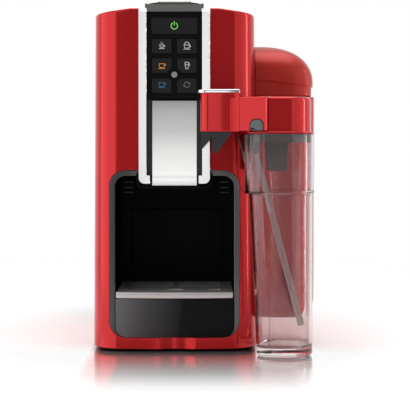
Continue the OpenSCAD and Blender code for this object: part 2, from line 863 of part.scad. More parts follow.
module carafe_lid() color("#c02328") in_frame() {
    difference() {
        union() {
            // thin rim on the jar, then the walls
            from_above(lid_z, lid_z + 1.4) jar_plan(0);
            difference() {
                from_above(lid_z + 1, lid_top) jar_plan(lid_in);
                from_above(lid_z + 2, lid_top - wall) jar_plan(lid_in + wall);
            }
            // wall round the hub's well
            intersection() {
                from_above(lid_z + 1, lid_top) jar_plan(lid_in);
                translate([hub[0], hub[1], lid_z + 1]) cylinder(h = lid_top - lid_z - 1, r = hub_r + 3);
            }
        }
        translate([hub[0], hub[1], lid_z + 2]) cylinder(h = 50, r = hub_r + 0.5);
        // steam port
        rod([nozzle_x, 20, nozzle_z], [nozzle_x, 40, nozzle_z], 2);
    }
    translate([hub[0], hub[1], lid_z + 1]) cylinder(h = 26, r = hub_pin_r);
}

module lid_skirt() color("#5c5c5a") in_frame() {
    in_rim = jar_wall + fit;
    difference() {
        from_above(190, lid_z) jar_plan(in_rim);
        from_above(189, lid_z - 2) jar_plan(in_rim + 2);
    }
    // funnel that takes the suction tube
    translate([tube_top[0], tube_top[1], funnel_z]) cylinder(h = lid_z - funnel_z, r1 = 3.2, r2 = 4.6);
}

module frother_block() color("#6a6a68") in_frame() {
    from_front(-16, 4)
        polygon([[81.5, lid_z - 2], [102, lid_z - 2], [100, 165], [84, 165]]);
}

module suction_tube() color([0.9, 0.9, 0.9, 0.7]) in_frame() {
    rod(tube_top, [113, -18, 28], 2.8);
}

// Plan of the arm: a thin end over the cup, a face that leans out to the lid, a round hub
module arm_plan() {
    translate([arm_tip_x + arm_tip_r, arm_y[0] + arm_tip_r]) circle(arm_tip_r);
    translate([arm_tip_x + arm_tip_r, arm_y[1] - arm_tip_r]) circle(arm_tip_r);
    translate([arm_tip_x, arm_y[0] + arm_tip_r])
        square([2 * arm_tip_r, arm_y[1] - arm_y[0] - 2 * arm_tip_r]);
    translate([arm_tip_x + arm_tip_r, arm_y[0]])
        square([hub[0] - arm_tip_x - arm_tip_r, arm_y[1] - arm_y[0]]);
    polygon([[arm_bend_x, arm_y[0]], arm_corner, hub, [arm_bend_x, hub[1]]]);
    intersection() {
        translate(hub) circle(hub_r);
        polygon([hub, arm_corner, [100, -37], [100, 0], [hub[0] - 10, 0], [hub[0] - 10, hub[1]]]);
    }
}

// Turns a piece from the arm's leaning face to the machine's planes
module on_lean() {
    lean = arm_corner - [arm_bend_x, arm_y[0]];
    translate([arm_bend_x, arm_y[0], 0]) rotate([0, 0, atan2(lean[1], lean[0])]) children();
}

module milk_arm() color("#c02328") in_frame() {
    difference() {
        union() {
            from_above(arm_z[0], lid_top) arm_plan();
            intersection() {
                from_above(arm_z[0] - 0.6, arm_z[1]) arm_plan();
                block([0, -60, arm_z[0] - 0.6], [arm_step_x, 0, arm_z[1]]);
            }
        }
        translate([hub[0], hub[1], arm_z[0] - 1]) cylinder(h = 26, r = hub_pin_r + pin_gap);
        // pocket for the release tab
        on_lean() block([18.9, -5, arm_z[0] - 1], [31.7, 5.4, arm_z[0] + 10.6]);
    }
}

module arm_chrome_cap() color("#dcdcdc") in_frame() {
    from_above(arm_z[1], arm_z[1] + 3.3)
        round_rect([arm_tip_x - 2.8, arm_y[0] + 0.8], [arm_step_x + 0.6, arm_y[1] - 0.8], arm_tip_r);
}

module milk_spout() color("#2e3030") in_frame() {
    top = arm_z[0] - 0.6;
    difference() {
        from_front(spout_y[0], spout_y[1]) {
            polygon([[33.7, top], [51.5, top], [38.4, 181], [34.4, 181]]);
            polygon([[24.8, top], [34, top], [34, top - 2.6], [31.8, 192], [25.2, 184.5], [24.8, 186]]);
        }
        translate([36.4, (spout_y[0] + spout_y[1]) / 2, 180]) cylinder(h = 8, r = 1.2);
    }
}

module release_tab() color("#5d6464") in_frame() {
    tab_x = [19.3, 31.3];
    on_lean() intersection() {
        block([tab_x[0], -0.5, arm_z[0]], [tab_x[1], 4, arm_z[0] + 10.2]);
        from_front(-2, 6) round_rect([tab_x[0], arm_z[0] - 8], [tab_x[1], arm_z[0] + 10], 5);
    }
}

base_plate();
feet();
front_housing();
left_cover();
right_cover();
top_cover();
rear_cover();
cavity_bezel();
cavity_liner();
center_frame();
guide_strips();
control_fascia();
status_lens();
key_board();
power_board();
power_inlet();
brew_frame();
injector_block();
thermoblock();
pump();
flow_meter();
suction_hose();
steam_pipe();
dock_housing();
dock_hinge_pin();
steam_nozzle();
lever_pin();
screws();
lever_arm();
lever_grip();
lever_inlay();
capsule_cage();
outlet_plate();
outlet_carriage();
outlet_nozzle();
drip_tray();
tray_front();
capsule_bin();
drip_grille();
tray_float();
power_key();
espresso_key();
cappuccino_key();
coffee_key();
latte_key();
water_key();
rinse_key();
water_tank();
tank_valve();
tank_lid();
dock_cover();
carafe_jar();
carafe_lid();
lid_skirt();
frother_block();
suction_tube();
milk_arm();
arm_chrome_cap();
milk_spout();
release_tab();
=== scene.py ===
import math

import bmesh
import bpy
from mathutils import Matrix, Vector
from mathutils.geometry import delaunay_2d_cdt


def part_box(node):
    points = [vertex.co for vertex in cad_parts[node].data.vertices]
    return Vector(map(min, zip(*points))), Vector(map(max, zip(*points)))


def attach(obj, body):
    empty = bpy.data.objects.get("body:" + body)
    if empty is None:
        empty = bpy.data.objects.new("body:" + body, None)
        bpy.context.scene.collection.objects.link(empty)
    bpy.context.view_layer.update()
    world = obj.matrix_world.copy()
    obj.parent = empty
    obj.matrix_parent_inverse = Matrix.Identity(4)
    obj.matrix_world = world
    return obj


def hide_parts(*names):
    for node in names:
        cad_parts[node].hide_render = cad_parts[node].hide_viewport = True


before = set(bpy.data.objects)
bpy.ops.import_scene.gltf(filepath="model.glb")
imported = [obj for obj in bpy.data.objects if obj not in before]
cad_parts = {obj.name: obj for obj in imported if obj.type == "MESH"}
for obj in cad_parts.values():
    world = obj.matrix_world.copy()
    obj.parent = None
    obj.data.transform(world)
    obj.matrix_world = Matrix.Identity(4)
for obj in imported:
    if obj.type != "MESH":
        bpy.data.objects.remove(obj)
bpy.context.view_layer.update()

# Lengths below are millimetres in the machine's own planes: x from the middle of the
# control panel, y back from its face, z up from the table.
MM = 0.001
panel_low, panel_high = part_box("control_fascia")
MIDDLE_X = (panel_low.x + panel_high.x) / 2
FACE_Y = panel_low.y

# Sizes that several pieces share.
FOOT = 3.0
SILL = 13.4
FRAME_HALF = 32.0
FRAME_FOOT = 153.0
TOP_INSIDE = 305.0
HINGE = (109.0, 247.5)
HUB = (67.3, -23.5)
HUB_R = 18.7
LID_TOP = 230.5
ARM_FOOT = 200.2


def P(x, y, z):
    return Vector((MIDDLE_X + x * MM, FACE_Y + y * MM, z * MM))


# ---------------------------------------------------------------- mesh helpers


def new_object(name, verts, faces):
    mesh = bpy.data.meshes.new(name)
    mesh.from_pydata([P(*v) for v in verts], [], faces)
    work = bmesh.new()
    work.from_mesh(mesh)
    bmesh.ops.remove_doubles(work, verts=work.verts, dist=1e-7)
    bmesh.ops.recalc_face_normals(work, faces=work.faces)
    work.to_mesh(mesh)
    work.free()
    obj = bpy.data.objects.new(name, mesh)
    bpy.context.scene.collection.objects.link(obj)
    return obj


def arc(cx, cy, r, a0, a1, n):
    """Points on an arc, angles in degrees."""
    steps = [math.radians(a0 + (a1 - a0) * i / n) for i in range(n + 1)]
    return [(cx + r * math.cos(a), cy + r * math.sin(a)) for a in steps]


def round_loop(x0, y0, x1, y1, r, n=8):
    """Rounded rectangle, anticlockwise. r is one radius or four from the lower left round."""
    rs = [r] * 4 if not hasattr(r, "__len__") else r
    loop = arc(x0 + rs[0], y0 + rs[0], rs[0], 180, 270, n)
    loop += arc(x1 - rs[1], y0 + rs[1], rs[1], 270, 360, n)
    loop += arc(x1 - rs[2], y1 - rs[2], rs[2], 0, 90, n)
    loop += arc(x0 + rs[3], y1 - rs[3], rs[3], 90, 180, n)
    return loop


def inset_loop(loop, amount):
    """Each point moved to the left of the loop's own direction."""
    if abs(amount) < 1e-9:
        return [Vector(p) for p in loop]
    out = []
    count = len(loop)
    for i in range(count):
        a = Vector(loop[i - 1])
        b = Vector(loop[i])
        c = Vector(loop[(i + 1) % count])
        d1 = (b - a).normalized()
        d2 = (c - b).normalized()
        n1 = Vector((-d1.y, d1.x))
        n2 = Vector((-d2.y, d2.x))
        share = max(1 + n1.dot(n2), 0.4)
        out.append(b + (n1 + n2) * (amount / share))
    return out


def inside(loops, x, y):
    """Whether the point lies in an odd number of the loops."""
    odd = False
    for loop in loops:
        for i in range(len(loop)):
            x0, y0 = loop[i - 1]
            x1, y1 = loop[i]
            if (y0 > y) != (y1 > y):
                if x < x0 + (y - y0) * (x1 - x0) / (y1 - y0):
                    odd = not odd
    return odd


def fill(loops, step):
    """Triangles that fill the loops, with a grid of extra points so that a face can bend."""
    points = []
    edges = []
    for loop in loops:
        base = len(points)
        points += [Vector((p[0], p[1])) for p in loop]
        edges += [(base + i, base + (i + 1) % len(loop)) for i in range(len(loop))]
    if step:
        xs = [p[0] for p in loops[0]]
        ys = [p[1] for p in loops[0]]
        x = min(xs) + step * 0.5
        while x < max(xs):
            y = min(ys) + step * 0.5
            while y < max(ys):
                if inside(loops, x, y):
                    points.append(Vector((x, y)))
                y += step
            x += step
    found = delaunay_2d_cdt(points, edges, [], 0, 1e-6)
    tris = []
    for f in found[2]:
        cx = sum(found[0][i].x for i in f) / 3
        cy = sum(found[0][i].y for i in f) / 3
        if inside(loops, cx, cy):
            tris.append(list(f))
    return [tuple(v) for v in found[0]], tris


def slab_parts(loops, place, depth, front=0.5, back=0.0, step=None, n=4):
    """Vertices and faces of an outline given depth, with rounded front and back edges."""
    rings = [(0.0, 0.0)]
    if front > 0:
        turn = [math.pi / 2 * k / n for k in range(n + 1)]
        rings = [(front * (1 - math.sin(t)), front * (1 - math.cos(t))) for t in turn]
    if back > 0:
        turn = [math.pi / 2 * k / n for k in range(n + 1)]
        rings += [(back * (1 - math.cos(t)), depth - back * (1 - math.sin(t))) for t in turn]
    else:
        rings.append((0.0, depth))
    verts = []
    faces = []
    count = sum(len(loop) for loop in loops)
    for amount, d in rings:
        for loop in loops:
            verts += [place(p[0], p[1], d) for p in inset_loop(loop, amount)]
    for k in range(len(rings) - 1):
        start = k * count
        for loop in loops:
            size = len(loop)
            for i in range(size):
                j = (i + 1) % size
                faces.append([start + i, start + j, start + count + j, start + count + i])
            start += size
    for amount, d, turned in [(*rings[0], False), (*rings[-1], True)]:
        points, tris = fill([inset_loop(loop, amount) for loop in loops], step)
        base = len(verts)
        verts += [place(p[0], p[1], d) for p in points]
        faces += [[base + i for i in (reversed(t) if turned else t)] for t in tris]
    return verts, faces


def slab(name, loops, place, depth, front=0.5, back=0.0, step=None, n=4):
    parts = slab_parts(loops, place, depth, front=front, back=back, step=step, n=n)
    return new_object(name, *parts)


def joined(name, *parts):
    verts = []
    faces = []
    for v, f in parts:
        base = len(verts)
        verts += v
        faces += [[base + i for i in face] for face in f]
    return new_object(name, verts, faces)


def loft_parts(rings):
    """A skin through closed rings of equal count, with both ends closed."""
    verts = []
    faces = []
    size = len(rings[0])
    for ring in rings:
        verts += ring
    for k in range(len(rings) - 1):
        for i in range(size):
            j = (i + 1) % size
            faces.append([k * size + i, k * size + j, (k + 1) * size + j, (k + 1) * size + i])
    faces.append(list(range(size))[::-1])
    faces.append([(len(rings) - 1) * size + i for i in range(size)])
    return verts, faces


def loft(name, rings):
    return new_object(name, *loft_parts(rings))


def front_place(y):
    """A front view outline: u is x, v is z, and depth goes back from y."""
    return lambda u, v, d: (u, y + d, v)


def top_place(z):
    """A plan outline: depth goes down from z."""
    return lambda u, v, d: (u, v, z - d)


def side_place(x):
    """A side view outline: u is y, v is z, and depth goes right from x."""
    return lambda u, v, d: (x + d, u, v)


def box_cutter(lo, hi):
    loop = [(lo[0], lo[1]), (hi[0], lo[1]), (hi[0], hi[1]), (lo[0], hi[1])]
    return slab("cutter", [loop], top_place(hi[2]), hi[2] - lo[2], front=0)


def cut(obj, *cutters):
    """Takes the cutters out of the piece and removes them."""
    for c in cutters:
        m = obj.modifiers.new("cut", "BOOLEAN")
        m.operation = "DIFFERENCE"
        m.solver = "EXACT"
        m.object = c
    graph = bpy.context.evaluated_depsgraph_get()
    made = bpy.data.meshes.new_from_object(obj.evaluated_get(graph))
    obj.modifiers.clear()
    obj.data = made
    for c in cutters:
        bpy.data.objects.remove(c)


# ---------------------------------------------------------------- materials


class Net:
    """Short names for building a node material."""

    def __init__(self, name):
        self.mat = bpy.data.materials.new(name)
        self.mat.use_nodes = True
        self.nodes = self.mat.node_tree.nodes
        self.links = self.mat.node_tree.links
        self.shader = self.nodes["Principled BSDF"]
        self.where = self.nodes.new("ShaderNodeTexCoord").outputs["Object"]

    def put(self, socket, value):
        if isinstance(value, bpy.types.NodeSocket):
            self.links.new(value, socket)
        else:
            socket.default_value = value

    def set(self, name, value):
        self.put(self.shader.inputs[name], value)

    def noise(self, scale, stretch=(1, 1, 1)):
        move = self.nodes.new("ShaderNodeMapping")
        self.links.new(self.where, move.inputs["Vector"])
        move.inputs["Scale"].default_value = stretch
        node = self.nodes.new("ShaderNodeTexNoise")
        self.links.new(move.outputs["Vector"], node.inputs["Vector"])
        node.inputs["Scale"].default_value = scale
        node.inputs["Detail"].default_value = 3.0
        return node.outputs["Fac"]

    def span(self, value, low, high, from_low=0.0, from_high=1.0):
        node = self.nodes.new("ShaderNodeMapRange")
        self.links.new(value, node.inputs["Value"])
        node.inputs["From Min"].default_value = from_low
        node.inputs["From Max"].default_value = from_high
        node.inputs["To Min"].default_value = low
        node.inputs["To Max"].default_value = high
        return node.outputs["Result"]

    def mix(self, share, a, b):
        node = self.nodes.new("ShaderNodeMix")
        node.data_type = "RGBA"
        self.put(node.inputs["Factor"], share)
        self.put(node.inputs["A"], a)
        self.put(node.inputs["B"], b)
        return node.outputs["Result"]

    def axis(self, name):
        node = self.nodes.new("ShaderNodeSeparateXYZ")
        self.links.new(self.where, node.inputs["Vector"])
        return node.outputs[name]

    def ramp(self, value, stops):
        node = self.nodes.new("ShaderNodeValToRGB")
        self.links.new(value, node.inputs["Fac"])
        parts = node.color_ramp.elements
        while len(parts) < len(stops):
            parts.new(1.0)
        for part, (at, colour) in zip(parts, stops):
            part.position = at
            part.color = (*colour, 1)
        return node.outputs["Color"]

    def calc(self, operation, a, b):
        node = self.nodes.new("ShaderNodeMath")
        node.operation = operation
        self.put(node.inputs[0], a)
        self.put(node.inputs[1], b)
        return node.outputs["Value"]

    def soft_edges(self, radius, height, strength):
        bevel = self.nodes.new("ShaderNodeBevel")
        bevel.samples = 6
        bevel.inputs["Radius"].default_value = radius * MM
        bump = self.nodes.new("ShaderNodeBump")
        bump.inputs["Strength"].default_value = strength
        bump.inputs["Distance"].default_value = 0.00005
        self.links.new(height, bump.inputs["Height"])
        self.links.new(bevel.outputs["Normal"], bump.inputs["Normal"])
        self.links.new(bump.outputs["Normal"], self.shader.inputs["Normal"])


def plain(name, base, rough, metal=0.0, coat=0.0, edge=0.4, grain=900.0, bump=0.05,
          mottle=0.05, stretch=(1, 1, 1), specular=0.5):
    net = Net(name)
    fine = net.noise(grain, stretch)
    cloud = net.noise(25.0)
    light = (*[min(1.0, c * (1 + mottle)) for c in base], 1)
    dark = (*[c * (1 - mottle) for c in base], 1)
    net.set("Base Color", net.mix(cloud, dark, light))
    net.set("Roughness", net.span(fine, rough * 0.88, rough * 1.12))
    net.set("Metallic", metal)
    net.set("Coat Weight", coat)
    net.set("Coat Roughness", 0.04)
    net.set("Specular IOR Level", specular)
    net.soft_edges(edge, fine, bump)
    return net


def clear(name, base, rough, ior=1.46):
    net = Net(name)
    cloud = net.noise(40.0)
    dark = (*[c * 0.98 for c in base], 1)
    net.set("Base Color", net.mix(cloud, dark, (*base, 1)))
    net.set("Roughness", net.span(net.noise(300.0), rough * 0.8, rough * 1.2 + 0.004))
    net.set("Transmission Weight", 1.0)
    net.set("IOR", ior)
    net.soft_edges(0.3, cloud, 0.02)
    return net


red = plain("red_lacquer", (0.56, 0.016, 0.019),
            rough=0.14, metal=0.5, coat=0.2, edge=0.7, grain=700.0, bump=0.02, specular=0.3)
dome_red = plain("dome_red", (0.46, 0.03, 0.022),
                 rough=0.36, metal=0.3, coat=0.1, edge=0.7, grain=700.0, bump=0.03, specular=0.3)
black = plain("base_black", (0.012, 0.012, 0.013), rough=0.42, bump=0.2)
rubber = plain("foot_rubber", (0.015, 0.015, 0.015), rough=0.75, bump=0.4, specular=0.25)
# Black plastic for the cup bay's parts, darkened below the base black as painted shade of the
# recess.
bay_black = plain("bay_black", (0.0016, 0.0016, 0.0016), rough=0.45, specular=0.08, bump=0.08)
key_face = plain("key_face", (0.0065, 0.0065, 0.007), rough=0.22, edge=0.5, specular=0.22)
lens = plain("lamp_lens", (0.26, 0.26, 0.245), rough=0.25, edge=0.3)
board = plain("board_green", (0.02, 0.15, 0.06), rough=0.4)
inlet = plain("inlet_black", (0.012, 0.012, 0.012), rough=0.4)
nylon = plain("group_grey", (0.08, 0.08, 0.085), rough=0.5, bump=0.2)
alloy = plain("heater_alloy", (0.55, 0.56, 0.57), rough=0.42, metal=0.9, bump=0.3)
pump_skin = plain("pump_blue", (0.06, 0.13, 0.26), rough=0.5)
meter = plain("meter_white", (0.7, 0.68, 0.62), rough=0.45)
hose = plain("hose_silicone", (0.62, 0.62, 0.62), rough=0.5)
steel = plain("drawn_steel", (0.58, 0.58, 0.58), rough=0.22, metal=1.0, stretch=(1, 1, 12))
chrome = plain("chrome_trim", (0.80, 0.80, 0.81), rough=0.06, metal=1.0, edge=0.5, bump=0.01)
lever_grey = plain("lever_grey", (0.16, 0.155, 0.145), rough=0.34, metal=0.25, edge=0.6)
grip = plain("grip_dark", (0.022, 0.023, 0.025), rough=0.34, edge=0.7, bump=0.15)
maroon = plain("inlay_maroon", (0.10, 0.008, 0.012), rough=0.2, metal=0.3, coat=0.5)
float_red = plain("float_red", (0.5, 0.01, 0.015), rough=0.3)
valve = plain("valve_white", (0.62, 0.62, 0.62), rough=0.4)
skirt = plain("skirt_grey", (0.055, 0.062, 0.06), rough=0.4, edge=0.5)
tab_grey = plain("tab_grey", (0.10, 0.115, 0.115), rough=0.33, edge=0.8)
smoke = clear("tank_smoke", (0.42, 0.45, 0.48), rough=0.05)
glassy = clear("jar_clear", (0.80, 0.70, 0.70), rough=0.01)
tubing = clear("tube_clear", (0.60, 0.55, 0.55), rough=0.25, ior=1.38)
tubing.set("Transmission Weight", 0.6)

# Bright satin frame.
bright = plain("bright_frame", (0.90, 0.90, 0.89),
               rough=0.15, metal=1.0, coat=0.0, edge=0.5, grain=1200.0, bump=0.02, mottle=0.01)

# Dark bezel with painted light: warmer and lighter on the carafe side.
bezel = plain("bezel_grey", (0.05, 0.05, 0.048), rough=0.24, metal=0.0, coat=0.4, edge=0.9)
bezel_painted_light = bezel.span(bezel.axis("X"), 0.0, 1.0, from_low=-0.08, from_high=0.03)
bezel.set("Base Color", bezel.mix(bezel_painted_light, (0.035, 0.037, 0.034, 1), (0.11, 0.10, 0.098, 1)))

# Piano black of the key panel and the tray front, with faint polish marks.
piano = plain("panel_black", (0.0016, 0.0016, 0.002),
              rough=0.12, metal=0.0, coat=0.0, edge=0.5, grain=260.0, bump=0.01, specular=0.06)

# Tray front: the same black with a painted reflection, greyer to the left, up to a slanting line
# near the middle.
tray_black = plain("tray_black", (0.003, 0.003, 0.003),
                   rough=0.12, metal=0.0, coat=0.0, edge=0.5, grain=260.0, bump=0.01, specular=0.05)
LINE_LEAN = 0.1485
LINE_FOOT_X = 3.5
LINE_FOOT_Z = 15
TRAY_LEFT = -62
line_x = MIDDLE_X + (LINE_FOOT_X - LINE_LEAN * LINE_FOOT_Z) * MM
left_x = MIDDLE_X + TRAY_LEFT * MM
leaned = tray_black.calc("MULTIPLY", tray_black.axis("Z"), LINE_LEAN)
along = tray_black.calc("SUBTRACT", tray_black.axis("X"), leaned)
tray_painted_reflection = tray_black.ramp(tray_black.span(along, 0.0, 0.9, from_low=left_x, from_high=line_x), [
    (0.0, (0.15, 0.15, 0.152)),
    (0.45, (0.06, 0.06, 0.062)),
    (0.895, (0.014, 0.014, 0.015)),
    (0.905, (0.0025, 0.0025, 0.003)),
])
# The painted reflection goes into the tray's base colour.
tray_black.set("Base Color", tray_painted_reflection)

# Brushed steel: streaks along the width, and painted shade and reflection: paler towards the foot
# of the plate, darker towards the top under the key panel, with a thin line of painted shade near
# the foot for the lip's groove.
plate = plain("plate_brushed", (0.6, 0.6, 0.6),
              rough=0.12, metal=1.0, coat=0.0, edge=0.4, grain=60.0, bump=0.08, stretch=(1, 1, 40))
plate_height = plate.span(plate.axis("Z"), 0.0, 1.0, from_low=0.151, from_high=0.228)
streak = plate.span(plate.noise(50.0, (1, 1, 60)), 0.94, 1.06)
plate_painted_light = plate.ramp(plate_height, [
    (0.0, (0.60, 0.60, 0.60)),
    (0.07, (0.88, 0.88, 0.87)),
    (0.10, (0.74, 0.74, 0.73)),
    (0.13, (0.86, 0.86, 0.85)),
    (0.41, (0.72, 0.72, 0.71)),
    (0.64, (0.50, 0.50, 0.50)),
    (0.87, (0.40, 0.40, 0.40)),
    (1.0, (0.27, 0.27, 0.27)),
])
plate_mix = plate.nodes.new("ShaderNodeVectorMath")
plate_mix.operation = "MULTIPLY"
plate.links.new(plate_painted_light, plate_mix.inputs[0])
plate.links.new(streak, plate_mix.inputs[1])
plate.set("Base Color", plate_mix.outputs["Vector"])

grate = plain("grille_brushed", (0.62, 0.61, 0.60),
              rough=0.42, metal=0.75, coat=0.0, edge=0.5, grain=60.0, bump=0.2, stretch=(1, 40, 40))


def lit(name, colour, strength):
    net = plain(name, colour, rough=0.4, edge=0.1)
    net.set("Emission Color", (*colour, 1))
    net.set("Emission Strength", strength)
    return net


ink_white = lit("ink_white", (0.62, 0.62, 0.60), strength=0.3)
ink_grey = lit("ink_grey", (0.20, 0.20, 0.20), strength=0.1)
ink_orange = lit("ink_orange", (0.62, 0.29, 0.04), strength=0.4)
ink_blue = lit("ink_blue", (0.03, 0.15, 0.28), strength=0.4)
ink_green = lit("ink_green", (0.16, 0.55, 0.10), strength=0.5)


def present(obj, body, slot_name, net, *nodes, sharp=32):
    """Finishes a new piece: shading, material, the body it rides on and what it stands for."""
    obj.data.materials.clear()
    obj.data.materials.append(net.mat)
    obj.data.polygons.foreach_set("use_smooth", [True] * len(obj.data.polygons))
    obj.data.set_sharp_from_angle(angle=math.radians(sharp))
    normals = obj.modifiers.new("even_shading", "WEIGHTED_NORMAL")
    normals.keep_sharp = True
    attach(obj, body)
    if nodes:
        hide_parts(*nodes)


def dress(net, slot_name, *names):
    """Gives CAD nodes their material and smooth shading between sharp edges."""
    for name in names:
        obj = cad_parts[name]
        obj.data.materials.clear()
        obj.data.materials.append(net.mat)
        if "custom_normal" in obj.data.attributes:
            obj.data.attributes.remove(obj.data.attributes["custom_normal"])
        obj.data.polygons.foreach_set("use_smooth", [True] * len(obj.data.polygons))
        weld = obj.modifiers.new("weld", "WELD")
        weld.merge_threshold = 0.000002
        split = obj.modifiers.new("split", "EDGE_SPLIT")
        split.split_angle = math.radians(30)


# ---------------------------------------------------------------- front housing

BOW = 420.0
CORNER_X = 52.0
FRONT_BACK = 60.0
BASE_HALF = 75.0
TOP_HALF = 72.75
SIDE_FOOT = 4.0
SIDE_TOP = 304.5
INNER_X = 69.0


def side_half(z):
    share = (z - SIDE_FOOT) / (SIDE_TOP - SIDE_FOOT)
    return BASE_HALF - (BASE_HALF - TOP_HALF) * min(max(share, 0.0), 1.0)


def bow_y(x):
    return BOW - math.sqrt(BOW * BOW - x * x)


def body_ring(z, side_in=0.0, front_in=0.0):
    half = side_half(z) - side_in
    start = math.asin(CORNER_X / BOW)
    radius = (half - CORNER_X) / (1 - math.sin(start))
    right = [(CORNER_X * i / 26, bow_y(CORNER_X * i / 26)) for i in range(26)]
    for i in range(29):
        a = start + (math.pi / 2 - start) * i / 28
        x = CORNER_X + radius * (math.sin(a) - math.sin(start))
        right.append((x, bow_y(CORNER_X) + radius * (math.cos(start) - math.cos(a))))
    last = right[-1][1]
    right += [(half, last + (FRONT_BACK - front_in - last) * i / 5) for i in range(1, 6)]
    left = [(-x, y) for x, y in right[1:]][::-1]
    return [(x, y + front_in, z) for x, y in left + right]


ROOF_Z = 311.0
ROOF_X = 40.0
ROOF_FALL = 4.0
ROOF_EDGE = 2.5


def roof(x):
    return ROOF_Z - ROOF_FALL * max(abs(x) - ROOF_X, 0) / (TOP_HALF - ROOF_EDGE - ROOF_X)


rings = [body_ring(FOOT, 1.0, 1.0), body_ring(FOOT + 0.3, 0.3, 0.3), body_ring(SIDE_FOOT)]
rings += [body_ring(SIDE_FOOT + 296.0 * i / 24) for i in range(1, 25)]
for i in range(8):
    turn = math.pi / 2 * i / 7
    shrink = 1 - math.cos(turn)
    ring = body_ring(304, ROOF_EDGE * shrink, 1.5 * shrink)
    rings.append([(x, y, roof(x) - 0.05 - ROOF_EDGE * (1 - math.sin(turn))) for x, y, z in ring])
deck_points, deck_faces = fill([[(x, y) for x, y, z in rings[-1]]], 5.0)
side_verts, side_faces = loft_parts(rings)
deck = [(x, y, roof(x) - 0.05) for x, y in deck_points]
housing = joined("front_housing_shell", (side_verts, side_faces[:-1]), (deck, deck_faces))
FRONT_WALL = 7
SCOOP_R = 46
SCOOP_DEPTH = 4.3
slot_x = FRAME_HALF + 0.3
hollow = [round_loop(-INNER_X, FRONT_WALL, INNER_X, 121, 30, 16)]
bay = [round_loop(-59.3, SILL, 59.3, 165.3, 15, 12)]
scoop = [arc(0, SCOOP_DEPTH - SCOOP_R, SCOOP_R, 0, 360, 119)[:-1]]
cut(
    housing,
    slab("cutter", hollow, top_place(TOP_INSIDE), TOP_INSIDE - SILL, front=0),
    box_cutter((-INNER_X, 40, FOOT - 1), (INNER_X, FRONT_BACK + 1, SILL + 1)),
    slab("cutter", bay, front_place(-1), 15, front=0),
    box_cutter((-slot_x, -1, FRAME_FOOT - 0.3), (slot_x, FRONT_WALL + 1, ROOF_Z + 1)),
    box_cutter((-slot_x, -1, TOP_INSIDE - 1), (slot_x, FRONT_BACK + 1, ROOF_Z + 2)),
    slab("cutter", scoop, top_place(SILL + 1), 13, front=0),
)
present(housing, "machine", "red_gloss", red, "front_housing", sharp=28)

# ---------------------------------------------------------------- cup bay


def bowed_place(ahead):
    """A front view outline laid on the bowed front, moved back from it by ahead."""
    return lambda u, v, d: (u, bow_y(u) + ahead + d, v)


BAY_TOP = 165.0
BAY_CORNER_X = 44
BAY_R = 15
BEZEL = 5
upper_z = BAY_TOP - BAY_R
in_r = BAY_R - BEZEL
ring_out = arc(BAY_CORNER_X, SILL + BAY_R, BAY_R, 270, 360, 12)
ring_out += arc(BAY_CORNER_X, upper_z, BAY_R, 0, 90, 12)
ring_out += arc(-BAY_CORNER_X, upper_z, BAY_R, 90, 180, 12)
ring_out += arc(-BAY_CORNER_X, SILL + BAY_R, BAY_R, 180, 270, 12)
ring_in = arc(-BAY_CORNER_X, SILL + in_r, in_r, 270, 180, 12)[1:]
ring_in += arc(-BAY_CORNER_X, upper_z, in_r, 180, 90, 12)
ring_in += arc(BAY_CORNER_X, upper_z, in_r, 90, 0, 12)
ring_in += arc(BAY_CORNER_X, SILL + in_r, in_r, 0, -90, 12)[:-1]
bezel_ring = slab("bezel_ring", [ring_out + ring_in], bowed_place(0.55), 8,
                  front=0.5, back=0, step=6.0)
nose_x = FRAME_HALF + 0.6
cut(bezel_ring, box_cutter((-nose_x, -1, 150), (nose_x, 14, BAY_TOP + 2)))
present(bezel_ring, "machine", "bezel_grey", bezel, "cavity_bezel")

fairing_loop = round_loop(-34.4, 148.3, 34.4, 163, [5, 5, 0.1, 0.1])
fairing = slab("nose_fairing", [fairing_loop], front_place(2.1), 5.8, front=0.8, back=0)
fairing_hole = round_loop(-32.5, 150.7, 32.5, 170, [3.5, 3.5, 0.1, 0.1])
cut(fairing, slab("cutter", [fairing_hole], front_place(1), 9, front=0))
present(fairing, "machine", "base_black", bay_black)

RIB_X = 46.7
RIB_HALF = 4.7
ribs = []
for side in (-1, 1):
    for z in (140.4, 145.2, 150.6):
        rib = round_loop(side * RIB_X - RIB_HALF, z, side * RIB_X + RIB_HALF, z + 1.3, 0.5, 4)
        ribs.append(slab_parts([rib], front_place(97.5), 0.8, front=0.3, back=0))
bay_ribs = joined("bay_ribs", *ribs)
present(bay_ribs, "machine", "bezel_grey", skirt)

# ---------------------------------------------------------------- cup grille

GRILLE_Z = 54.5
GRILLE_X = 52.9
GRILLE_BACK = 95.4
edge_xs = [-GRILLE_X + 2 * GRILLE_X * i / 40 for i in range(41)]
front_edge = [(x, bow_y(x) - 0.85) for x in edge_xs]
top_loop = front_edge + [(GRILLE_X, GRILLE_BACK), (-GRILLE_X, GRILLE_BACK)]


def oval(cx, cy, length, width, n=8):
    """A long round-ended hole, with its loop turned the other way."""
    half_l = length / 2
    half_w = width / 2
    loop = round_loop(cx - half_l, cy - half_w, cx + half_l, cy + half_w, half_w - 0.02, n)
    return loop[::-1]


holes = [oval(-0.4, 24, 17, 9.4), oval(35.5, 24, 13.6, 7.4)]
holes += [oval(22 * side, y, 40, 1.6, 4) for side in (-1, 1) for y in range(48, 91, 7)]
lip_loop = front_edge + [(x, y + 3.4) for x, y in front_edge[::-1]]
grille = joined(
    "grille_plate",
    slab_parts([top_loop] + holes, top_place(GRILLE_Z), 1.9, front=0.35, back=0),
    slab_parts([lip_loop], top_place(GRILLE_Z - 0.02), 5.5, front=1.6, back=1.3, n=6),
)
present(grille, "grille", "brushed_silver", grate, "drip_grille")

# ---------------------------------------------------------------- steam dock

